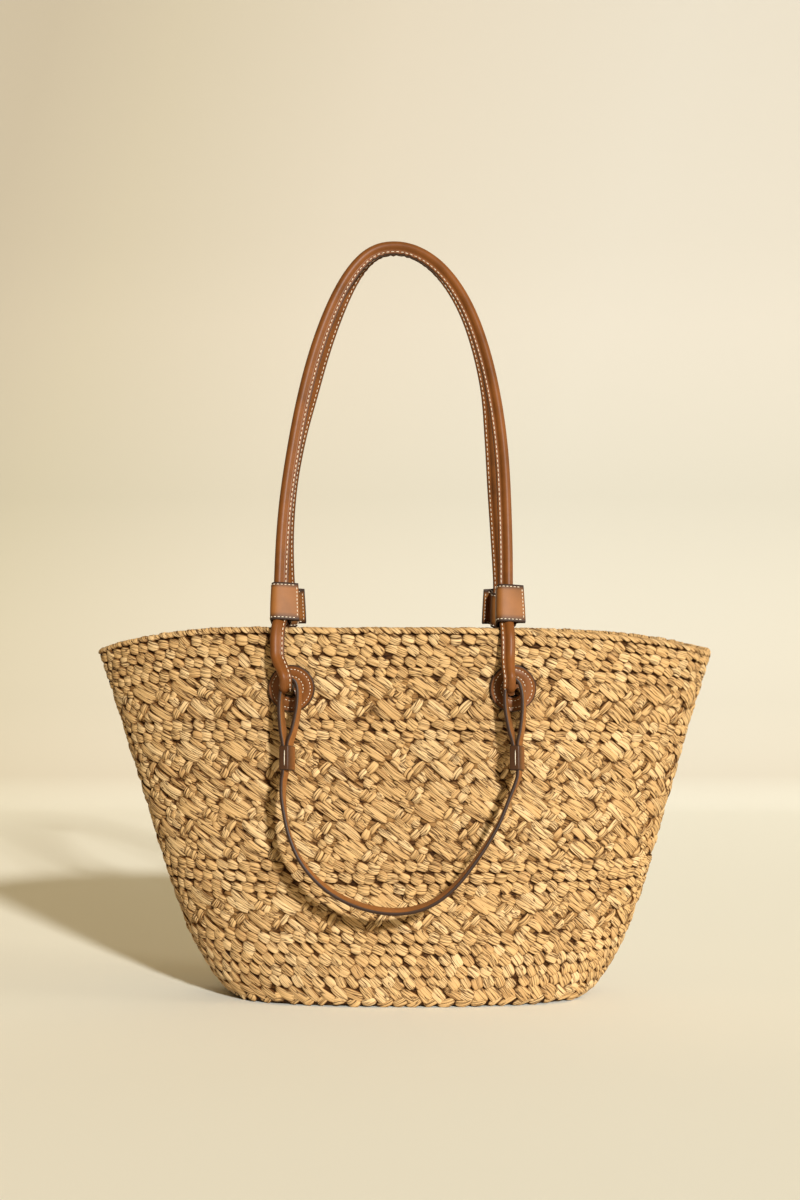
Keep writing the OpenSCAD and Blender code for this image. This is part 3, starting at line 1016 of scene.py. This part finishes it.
def leg_x(face, side):
    """Where a handle's leg stands along X."""
    return side * HANDLE_HALF_W[face] - HANDLE_SET


# Half of the rolled strap's outline: distance towards the roll's side, and height on one face
STRAP_HALF = np.array(
    [
        (-5.8, 0.0), (-5.78, 0.75), (-5.45, 1.25), (-4.6, 1.45), (-3.4, 1.4), (-2.5, 1.2),
        (-1.8, 1.65), (-1.0, 2.75), (0.3, 3.55), (1.9, 3.9), (3.5, 3.55), (4.9, 2.5), (5.6, 1.2),
        (5.8, 0.0),
    ]
)
STRAP_OUTLINE = np.vstack([STRAP_HALF, STRAP_HALF[-2:0:-1] * np.array([1, -1])])
STITCH_AT = -3.9


def add_strap(shape, path, roll_side, squeeze=None, wrinkle=None):
    """A rolled and sewn strap along a path. roll_side points to its rolled edge."""
    along = headings(path)
    across = square_to(roll_side, along)
    face = np.cross(along, across)
    squeeze = np.ones(len(path)) if squeeze is None else squeeze
    wrinkle = np.zeros(len(path)) if wrinkle is None else wrinkle
    run = run_of(path)
    p = STRAP_OUTLINE[:, 0]
    q = STRAP_OUTLINE[:, 1]
    is_flange = np.clip((-1.5 - p) / 3, 0, 1)
    wave = np.sin(run * 2 * np.pi / 6.3) + 0.6 * np.sin(run * 2 * np.pi / 4.1 + 1)
    p_all = p[None] * squeeze[:, None] + 0.45 * wrinkle[:, None] * wave[:, None] * is_flange
    q_all = q[None] + 0.5 * wrinkle[:, None] * wave[:, None] * is_flange
    rings = path[:, None] + across[:, None] * p_all[..., None] + face[:, None] * q_all[..., None]
    add_tube(shape, rings, np.clip((-5.15 - p) / 0.5, 0, 1))
    shift = 0.5 * wrinkle * wave * np.clip((-1.5 - STITCH_AT) / 3, 0, 1)
    for way in (1, -1):
        line = path + across * (STITCH_AT * squeeze)[:, None] + face * (shift + way * 1.42)[:, None]
        add_stitches(shape, line, face * way, slot=1)


# Neither arch is quite symmetric: share of the way up, and how far its middle is moved along X
ARCH_SWAY = {
    1: [(0, 0), (0.2, 1.1), (0.4, 3.4), (0.6, 4.8), (0.8, 5.2), (0.93, 3.4), (1, 0.2)],
    -1: [(0, 0), (0.15, -1.6), (0.3, -1.4), (0.45, 1.4), (0.6, 5.4), (0.8, 6.8), (0.93, 4.5), (1, 1)],
}


def arch_path(face, steps=150):
    """Across and up places of a handle's middle line, from one slider over the arch to the other."""
    turn = np.pi - np.pi * np.arange(steps + 1) / steps
    power, rise_power = ARCH_POWERS[face]
    up = np.abs(np.sin(turn)) ** rise_power
    sway = spline(ARCH_SWAY[face], 4)
    middle = np.interp(up, sway[:, 0], sway[:, 1]) - HANDLE_SET
    x = middle + HANDLE_HALF_W[face] * bend(np.cos(turn), power)
    rise = SLIDER_LOW + SLIDER_H + ARCH_H[face] * up
    low = ANCHOR_END + 1
    legs = np.linspace(low, SLIDER_LOW + SLIDER_H - 3, 4)
    x = np.concatenate([np.full(4, leg_x(face, -1)), x, np.full(4, leg_x(face, 1))])
    rise = np.concatenate([legs, rise, legs[::-1]])
    path = np.stack([x, rise], axis=-1)
    run = run_of(np.column_stack([path, np.zeros(len(path))]))
    even = np.linspace(0, run[-1], 260)
    return sample(path, run, even)


def handle(name, face):
    """One shoulder handle: a rolled strap over its arch."""
    flat = arch_path(face)
    path = handle_point(face, flat[:, 0], STRAP_DEPTH, flat[:, 1])
    centre = handle_point(face, 0.0, STRAP_DEPTH, SLIDER_LOW + SLIDER_H + ARCH_H[face] * 0.45)
    roll_side = unit(path - centre)
    turning = np.abs(np.gradient(np.unwrap(np.arctan2(*np.gradient(flat, axis=0).T))))
    wrinkle = np.clip(turning / turning.max() * 1.6 - 0.25, 0, 1)
    wrinkle = np.convolve(wrinkle, np.ones(15) / 15, mode="same")
    shape = Shape()
    add_strap(shape, path, roll_side, wrinkle=wrinkle)
    piece = shape.build(name + "_handle_strap", [STRAP_LEATHER, THREAD])
    hand_over(piece, name + "_handle", name + "_handle")
    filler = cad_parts[name + "_handle_core"].data.materials
    filler.clear()
    filler.append(COTTON)


def anchor_points(face, side):
    """The folded end of a handle: down outside the wall, in through the hole and up inside it."""
    hole_x = side * PATCH_X - 3.7
    aside = side * 1.4 - 0.6
    top_x = leg_x(face, side)
    low = SLIDER_LOW + SLIDER_SLIP[face, side]
    rim_out = wall_y(PATCH_X, WALL_TOP) + (BRAID_T - WALL_T) / 2 + STRAP_ROOM + STRAP_END_R
    rim_in = wall_y(PATCH_X, WALL_TOP) - (BRAID_T + WALL_T) / 2 - STRAP_ROOM - STRAP_END_R
    inside = PATCH_Y - WALL_T - BACKING_T - 2

    def between(share):
        return top_x + (hole_x - top_x) * share

    return [
        handle_point(1, top_x, STRAP_DEPTH, ANCHOR_END),
        handle_point(1, top_x, STRAP_DEPTH + 0.2, low + 2.5),
        (top_x + aside * 0.6, -rim_out + 3.4, PIVOT_Z + low - 3),
        (top_x + aside, -rim_out - 0.4, RIM_Z - 7),
        (top_x + aside, -rim_out - 2.8, RIM_Z - 16),
        (top_x + aside * 0.7, -rim_out - 5.0, RIM_Z - 24),
        (between(0.5), -rim_out - 9.5, RIM_Z - 33),
        (hole_x, -ANCHOR_Y, CARRY_PIVOT_Z + 1),
        (hole_x, -ANCHOR_Y + 2.3, CARRY_PIVOT_Z - 5.7),
        (hole_x, -ANCHOR_Y + 8, PATCH_Z),
        (hole_x, -PATCH_Y - 2, PATCH_Z - 0.5),
        (hole_x, -inside, PATCH_Z),
        (hole_x, -inside + 8.5, PATCH_Z + 5),
        (hole_x, -inside + 9.5, PATCH_Z + 15),
        (between(0.6), -inside + 5.5, RIM_Z - 20),
        (between(0.3), -rim_in + 0.6, RIM_Z - 5),
        handle_point(1, top_x, -STRAP_DEPTH, SLIDER_LOW + 1),
        handle_point(1, top_x, -STRAP_DEPTH, ANCHOR_END),
    ]


def anchor(face, corner_name, side):
    """One folded end of a handle, between the basket and the handle."""
    path = mirrored(spline(anchor_points(face, side), 7), face)
    narrows_from = 292
    squeeze = 1 - 0.12 * np.clip((narrows_from - path[:, 2]) / 25, 0, 1)
    shape = Shape()
    add_strap(shape, path, np.array([side * 1.0, 0, 0]), squeeze=squeeze)
    piece = shape.build(corner_name + "_strap_end", [STRAP_LEATHER, THREAD])
    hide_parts(corner_name + "_anchor")
    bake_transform(piece)


# The sewn sheet of a slider, as places across and outward of the strap's middle, from the
# flange's front layer round the sleeve to the flange's rear layer
SLIDER_SHEET = [
    (14.6, 5.95), (10.8, 7.2), (6.0, 8.6), (1.0, 9.8), (-3.5, 10.35), (-5.9, 9.6), (-7.1, 7.4),
    (-7.2, 3.0), (-7.2, -4.0), (-7.0, -7.6), (-5.4, -9.8), (-2.5, -10.4), (2.5, -10.4),
    (5.4, -9.8), (7.0, -7.6), (7.2, -3.0), (7.3, 1.2), (8.6, 3.6), (10.8, 4.2), (14.6, 4.15),
]
SLIDER_T = 1.7


def slider(name, face, corner_name, side):
    """A leather sleeve round both strands: one sheet, wrapped and sewn together at a flange."""
    flange = -1 if (face, side) == (-1, 1) else 1
    sheet = spline(SLIDER_SHEET, 4)
    ahead = headings(sheet)
    out = np.stack([ahead[:, 1], -ahead[:, 0]], axis=-1)
    if np.sum(out[len(sheet) // 4] * sheet[len(sheet) // 4]) < 0:
        out = -out
    ups = SLIDER_LOW + np.array([0.0, 0.35, 1.1, 6.0, 11.0, 16.0, 21.0, 26.0, 29.9, 30.65, 31.0])
    inset = np.array([0.45, 0.12, 0, 0, 0, 0, 0, 0, 0, 0.12, 0.45])

    def taper(up):
        return 1.04 - 0.09 * (up - SLIDER_LOW) / SLIDER_H

    def swell(up):
        return 0.35 * np.sin(np.pi * (up - SLIDER_LOW) / SLIDER_H)

    def place(offset_line, ups_line):
        x = leg_x(face, side) + flange * offset_line[..., 0]
        return handle_point(face, x, offset_line[..., 1], ups_line + SLIDER_SLIP[face, side])

    rows = len(ups)
    columns = len(sheet)
    loops = []
    for up, small in zip(ups, inset):
        line = sheet * np.array([taper(up), 1.0])
        outer = place(line + out * (SLIDER_T / 2 - small + swell(up)), up)
        inner = place(line - out * (SLIDER_T / 2 - small - swell(up) * 0.5), up)
        loops.append(np.concatenate([outer, inner[::-1]]))
    loop = np.array(loops)
    around = loop.shape[1]
    edge = np.zeros((rows, around))
    edge[[0, 1, 2, -3, -2, -1]] = 1.0
    edge[:, [0, columns - 1, columns, -1]] = 1.0
    quads = ring_quads(rows, around)
    k = np.arange(columns - 1)
    caps = []
    for base in (0, (rows - 1) * around):
        caps.append(np.stack([base + k, base + k + 1, base + around - 2 - k, base + around - 1 - k], axis=-1))
    shape = Shape()
    shape.add(loop.reshape(-1, 3), [quads, np.concatenate(caps)], edge=edge.ravel())

    def on_outside(columns_used, up):
        """Places on the sheet's outer face, and its outward direction there."""
        up = np.broadcast_to(up, len(columns_used))
        line = sheet[columns_used] * np.stack([taper(up), np.ones(len(up))], axis=-1)
        base = place(line + out[columns_used] * (SLIDER_T / 2 + swell(up))[:, None], up)
        above = place(line + out[columns_used] * (SLIDER_T / 2 + 1 + swell(up))[:, None], up)
        return base, unit(above - base)

    everywhere = np.arange(2, columns - 2)
    for up in (SLIDER_LOW + 2.0, SLIDER_LOW + SLIDER_H - 2.0):
        add_stitches(shape, *on_outside(everywhere, up), slot=1, length=2.2, gap=0.9)
    heights = np.linspace(SLIDER_LOW + 2.6, SLIDER_LOW + SLIDER_H - 2.6, 20)
    for column in (2, columns - 3):
        add_stitches(shape, *on_outside(np.full(20, column), heights), slot=1, length=2.2, gap=0.9)
    piece = shape.build(corner_name + "_slider_wrap", [SLIDER_LEATHER, THREAD])
    hand_over(piece, name + "_handle", corner_name + "_slider")


def patch_frame():
    """Middle, two directions in the wall and the wall's outward direction, at the front right patch."""
    along_x = np.array([1, -(wall_y(PATCH_X + 1, PATCH_Z) - wall_y(PATCH_X, PATCH_Z)), 0])
    along_z = np.array([0, -(wall_y(PATCH_X, PATCH_Z + 1) - wall_y(PATCH_X, PATCH_Z)), 1])
    out = unit(np.cross(along_x, along_z))
    right = unit(along_x)
    up = np.cross(out, right)
    return np.array([PATCH_X, -PATCH_Y, PATCH_Z]), right, up, out


# Profile of a leather disc: distance from its middle, height, and 1 where the edge is painted
DISC_PROFILE = np.array(
    [
        (7.0, 0.0, 1), (7.0, 1.5, 1), (7.35, 2.15, 0.9), (8.1, 2.35, 0), (9.2, 2.2, 0),
        (9.9, 2.0, 0), (10.6, 2.2, 0), (13.0, 2.35, 0), (14.9, 2.2, 0), (15.6, 1.95, 0),
        (16.4, 2.2, 0), (17.4, 2.35, 0), (18.0, 2.5, 0.6), (18.6, 2.45, 1), (19.0, 1.9, 1),
        (19.0, 0.0, 1),
    ]
)


def disc(face, corner_name, side, kind):
    """A stitched leather disc on the wall's outside, or its plainer backing inside."""
    middle, right, up, out = patch_frame()
    profile = DISC_PROFILE * np.array([1, 1 if kind == "patch" else BACKING_T / PATCH_T, 1])
    low = 0.1
    way = 1
    if kind == "backing":
        low = -WALL_T - 0.9
        way = -1
    steps = 96
    angle = np.linspace(0, 2 * np.pi, steps, endpoint=False)
    flat = np.cos(angle)[:, None] * right + np.sin(angle)[:, None] * up
    scale = np.array([side, face, 1])
    uneven = 1 + 0.006 * np.sin(angle * 3 + side + face)
    rings = []
    for r, h, _ in profile:
        rings.append((middle + flat * (r * uneven)[:, None] + out * (low + way * h)) * scale)
    edge = np.repeat(profile[:, 2], steps)
    shape = Shape()
    shape.add(np.array(rings).reshape(-1, 3), [ring_quads(len(profile), steps, closed=True)], edge=edge)
    thickness = profile[5, 1] / 2.0
    for r, h in ((9.9, 2.02), (15.6, 1.97)):
        h = h * thickness
        ring_line = (middle + flat * (r * uneven)[:, None] + out * (low + way * h)) * scale
        ring_line = np.vstack([ring_line, ring_line[:1]])
        outs = np.broadcast_to(out * way * scale, ring_line.shape)
        add_stitches(shape, ring_line, outs, slot=1, length=2.0, gap=0.85, radius=0.3)
    piece = shape.build(f"{corner_name}_{kind}_disc", [PATCH_LEATHER, THREAD])
    hand_over(piece, "basket", f"{corner_name}_{kind}")


# ---- carry straps

CARRY_DROP = [
    (-94.5, 184), (-94.5, 169), (-90, 144), (-79, 120), (-59, 99.5), (-33, 86.5), (-5, 82),
    (20, 87), (41, 101.5), (61, 126), (76, 150), (85.5, 171), (91.5, 185),
]
LOOP_RISE = [(1.6, 0), (1.6, KEEPER_H), (4.6, 33), (6.8, 49), (6.8, 62), (4.6, 70.5)]
LOOP_TOP = 73.5


def carry_place(x, depth, z):
    """A place in a carry strap's own plane, which hangs from the line its loops turn about."""
    x, depth, z = np.broadcast_arrays(x, depth, z)
    y = CARRY_PIVOT_Y - CARRY_Y - depth
    drop = z - CARRY_PIVOT_Z
    turned_y = y * math.cos(CARRY_LEAN) + drop * math.sin(CARRY_LEAN)
    turned_z = -y * math.sin(CARRY_LEAN) + drop * math.cos(CARRY_LEAN)
    return np.stack([x, turned_y - CARRY_PIVOT_Y, turned_z + CARRY_PIVOT_Z], axis=-1)


def loop_side(side, half):
    """One leg of an end loop, from its keeper up: half is 1 for the right leg and -1 for the left."""
    made = []
    for width, up in LOOP_RISE:
        middle = KEEPER_X + (PATCH_X - KEEPER_X) * max(0, up - KEEPER_H) / (LOOP_TOP - KEEPER_H)
        made.append((side * middle + half * width, KEEPER_Z + up))
    return made


def carry_route():
    """The carry strap's middle line, from one keeper round its loop, down and up to the other."""
    route = loop_side(-1, 1)
    route.append((-PATCH_X, KEEPER_Z + LOOP_TOP))
    route += loop_side(-1, -1)[::-1]
    route += CARRY_DROP
    route += loop_side(1, 1)
    route.append((PATCH_X, KEEPER_Z + LOOP_TOP))
    route += loop_side(1, -1)[::-1]
    return route


def carry_twist(z):
    """How far the strap's outer edge turns to the left, which is most at its keepers."""
    return np.radians(np.interp(z, [150, 190, 215, 240, 270], [0, 17, 20, 14, 5]))


BAND_CORNER = np.array([(6.0, 0.0), (5.98, 0.9), (5.6, 1.35), (4.8, 1.5), (0, 1.5)])
BAND_HALF = np.vstack([BAND_CORNER * np.array([-1, 1]), BAND_CORNER[-2::-1]])
BAND_OUTLINE = np.vstack([BAND_HALF, BAND_HALF[-2:0:-1] * np.array([1, -1])])


def carry_strap(name, face):
    """One flat carry strap, with both of its end loops."""
    flat = spline([(x, 0, z) for x, z in carry_route()], 6)
    x, z = flat[:, 0], flat[:, 2]
    path = carry_place(x, 0.0, z)
    twist = carry_twist(z)
    tip = np.radians(np.interp(z, [80, 110, 150], [12, 8, 0]))
    outward = np.stack([-np.sin(twist), -np.cos(twist), -np.sin(tip)], axis=-1)
    along = headings(path)
    across = square_to(outward, along)
    thick = np.cross(along, across)
    w = BAND_OUTLINE[:, 0]
    h = BAND_OUTLINE[:, 1]
    rings = path[:, None] + across[:, None] * w[:, None] + thick[:, None] * h[:, None]
    shape = Shape()
    add_tube(shape, mirrored(rings, face), np.clip((np.abs(w) - 5.3) / 0.4, 0, 1))
    piece = shape.build(name + "_carry_band", [CARRY_LEATHER])
    hand_over(piece, name + "_carry", name + "_carry_strap")


def keeper(name, face, corner_name, side):
    """A small leather keeper round both layers of the carry strap."""
    half_w = 7.1
    half_t = 4.2
    corner = 1.4

    def turned(t, w, up):
        """A place in the keeper, by its distances through and across it."""
        x = side * KEEPER_X + t * math.cos(KEEPER_TWIST) - w * math.sin(KEEPER_TWIST)
        depth = w * math.cos(KEEPER_TWIST) + t * math.sin(KEEPER_TWIST)
        return carry_place(x, depth, up)

    outline = []
    for cx, cy, first in ((1, 1, 0), (-1, 1, 90), (-1, -1, 180), (1, -1, 270)):
        for k in range(5):
            a = math.radians(first + 90 * k / 4)
            t = cx * (half_t - corner) + corner * math.cos(a)
            outline.append((t, cy * (half_w - corner) + corner * math.sin(a)))
    outline = np.array(outline)
    # Heights and insets of the rings: up the outside, then down the inside
    ups = [0, 0.3, 0.9, 5, 10, 15, 18.6, 19.2, KEEPER_H, KEEPER_H, 0]
    insets = [0.4, 0.1, 0, 0, 0, 0, 0, 0.1, 0.4, 0.9, 0.9]
    rings = []
    for up, inset in zip(ups, insets):
        moved = outline - np.sign(outline) * inset
        rings.append(turned(moved[:, 0], moved[:, 1], KEEPER_Z + up))
    rings = np.array(rings)
    around = len(outline)
    is_front = np.clip((outline[:, 1] - 4.0) / 2, 0, 0.85)
    edge = np.tile(is_front, len(rings)).reshape(len(rings), around)
    edge[[0, 1, 7, 8, 9, 10]] = 1
    shape = Shape()
    faces = [ring_quads(len(rings), around, closed=True)]
    shape.add(mirrored(rings.reshape(-1, 3), face), faces, edge=edge.ravel())
    stitch_ups = np.linspace(KEEPER_Z + 0.6, KEEPER_Z + 18.9, 8)
    path = mirrored(turned(0.9, half_w + 0.02, stitch_ups), face)
    out = np.array([-math.sin(KEEPER_TWIST), -math.cos(KEEPER_TWIST) * face, 0.0])
    add_stitches(shape, path, np.broadcast_to(out, path.shape), slot=1, length=15.0, gap=0.5, radius=0.3)
    piece = shape.build(corner_name + "_keeper_wrap", [KEEPER_LEATHER, THREAD])
    hand_over(piece, name + "_carry", corner_name + "_keeper")


# ---- stage


# Painted shade on the stage: colours from left to right, darker to the left, and from its floor (0) to a
# metre up its backdrop (1), darker up the backdrop
STAGE_PAINTED_SHADE_ACROSS = [
    (0.0, (0.74, 0.69, 0.60)),
    (0.18, (0.82, 0.78, 0.68)),
    (0.5, (0.93, 0.90, 0.85)),
    (0.9, (0.97, 0.97, 0.965)),
]
STAGE_PAINTED_SHADE_UP = [
    (0.0, (0.865, 0.87, 0.80)),
    (0.04, (0.69, 0.66, 0.58)),
    (0.16, (0.61, 0.585, 0.51)),
    (0.6, (0.50, 0.48, 0.415)),
    (1.0, (0.54, 0.51, 0.45)),
]


def stage():
    """A pale warm floor that curves up into a backdrop, with painted shade that darkens it to the left and up
    the backdrop.
    """
    material, tree, shader = new_material("pale_paper")
    place = object_place(tree)
    parts = tree.nodes.new("ShaderNodeSeparateXYZ")
    tree.links.new(place, parts.inputs[0])
    lifted = math_node(tree, "MULTIPLY", parts.outputs["Z"], 0.3)
    tone = math_node(tree, "SUBTRACT", parts.outputs["X"], lifted)
    tone = math_node(tree, "MULTIPLY", math_node(tree, "ADD", tone, 1.3), 0.625)
    # painted shade: darker towards the left of the stage and up its backdrop
    painted_side_shade = ramp(tree, tone, STAGE_PAINTED_SHADE_ACROSS)
    painted_upward_shade = ramp(tree, parts.outputs["Z"], STAGE_PAINTED_SHADE_UP)
    colour = tint_by(tree, painted_upward_shade, painted_side_shade)
    finish_shader(tree, shader, colour, 0.95)
    shader.inputs["Specular IOR Level"].default_value = 0.1
    bend_start = 1.6
    radius = 1.2
    profile = [(-2.5, 0.0), (bend_start, 0.0)]
    for k in range(1, 61):
        a = math.radians(90 * k / 60)
        profile.append((bend_start + radius * math.sin(a), radius - radius * math.cos(a)))
    profile.append((bend_start + radius, 4.0))
    xs = np.linspace(-4, 4, 9)
    points = np.array([[(x, y, z) for x in xs] for y, z in profile]) / MM
    r = np.arange(len(profile) - 1)[:, None]
    c = np.arange(len(xs) - 1)[None]
    a = r * len(xs) + c
    quads = np.stack([a, a + 1, a + len(xs) + 1, a + len(xs)], axis=-1).reshape(-1, 4)
    shape = Shape()
    shape.add(points.reshape(-1, 3), [quads])
    shape.build("backdrop", [material], recalculate=False)


def camera():
    """A view from in front, at the height of the rim, tilted up a little."""
    data = bpy.data.cameras.new("camera")
    data.lens = 58.44
    data.sensor_width = 36.0
    data.clip_start = 0.05
    data.clip_end = 20.0
    view = bpy.data.objects.new("camera", data)
    view.location = (-0.0017, -1.650, 0.305)
    view.rotation_euler = (math.radians(90.88), 0, 0)
    bpy.context.scene.collection.objects.link(view)
    bpy.context.scene.camera = view


def sun(name, energy, spread, colour, travel):
    data = bpy.data.lights.new(name, "SUN")
    data.energy = energy
    data.angle = math.radians(spread)
    data.color = colour
    lamp = bpy.data.objects.new(name, data)
    lamp.rotation_euler = Vector(travel).to_track_quat("-Z", "Y").to_euler()
    bpy.context.scene.collection.objects.link(lamp)


def lights():
    """A key light from the front right, soft ones from the side and above, and a warm, uneven room."""
    sun("key", 4.25, 4.5, (1.0, 0.99, 0.96), (-0.9, 2.35, -1.0))
    sun("side", 0.75, 15.0, (1.0, 0.93, 0.78), (-1.0, 0.25, -0.25))
    sun("overhead", 0.42, 60.0, (1.0, 0.70, 0.33), (0.05, -0.08, -1.0))
    world = bpy.data.worlds.new("room")
    world.use_nodes = True
    tree = world.node_tree
    parts = tree.nodes.new("ShaderNodeSeparateXYZ")
    tree.links.new(tree.nodes.new("ShaderNodeTexCoord").outputs["Generated"], parts.inputs[0])
    from_left = math_node(tree, "MULTIPLY", math_node(tree, "ADD", parts.outputs["X"], 1.0), 0.5)
    glow = ramp(tree, from_left, [(0.0, (0.03, 0.02, 0.01)), (1.0, (1.0, 0.73, 0.33))])
    sky = tree.nodes["Background"]
    tree.links.new(glow, sky.inputs["Color"])
    sky.inputs["Strength"].default_value = 0.4
    bpy.context.scene.world = world
    bpy.context.scene.view_settings.view_transform = "Standard"


# ---- assembly

camera()
lights()
stage()
shell()
weave_outside()
weave_rim()
weave_inside()
weave_base()
for face_name, face in FACES.items():
    handle(face_name, face)
    carry_strap(face_name, face)
    for side_name, side in SIDES.items():
        corner = f"{face_name}_{side_name}"
        anchor(face, corner, side)
        slider(face_name, face, corner, side)
        disc(face, corner, side, "patch")
        disc(face, corner, side, "backing")
        keeper(face_name, face, corner, side)

bpy.context.view_layer.update()
